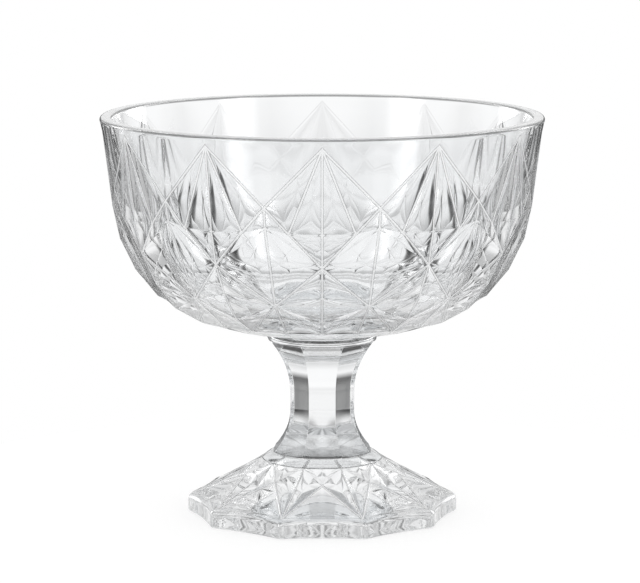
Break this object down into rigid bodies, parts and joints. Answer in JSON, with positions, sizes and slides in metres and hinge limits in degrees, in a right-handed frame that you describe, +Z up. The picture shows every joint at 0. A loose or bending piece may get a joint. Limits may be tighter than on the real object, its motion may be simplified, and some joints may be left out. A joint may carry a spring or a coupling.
{
  "type": "footed glass fruit bowl",
  "caption": "Clear pressed-glass fruit bowl with diamond-cut facets, on a waisted octagonal stem and a scalloped star-cut foot",
  "frame": {"origin": "on the table plane under the foot, on the axis of the bowl", "axes": "+Z up along the axis of the bowl; -Y is the front that the picture shows; +X to the viewer's right"},
  "size_m": [0.2, 0.2, 0.182],
  "materials": {
    "clear_glass": "fire-polished clear soda-lime glass with crisp pressed facets"
  },
  "bodies": {
    "root": {"foot": "clear_glass", "lower_wafer": "clear_glass", "stem": "clear_glass", "upper_wafer": "clear_glass", "bowl": "clear_glass"}
  },
  "joints": []
}
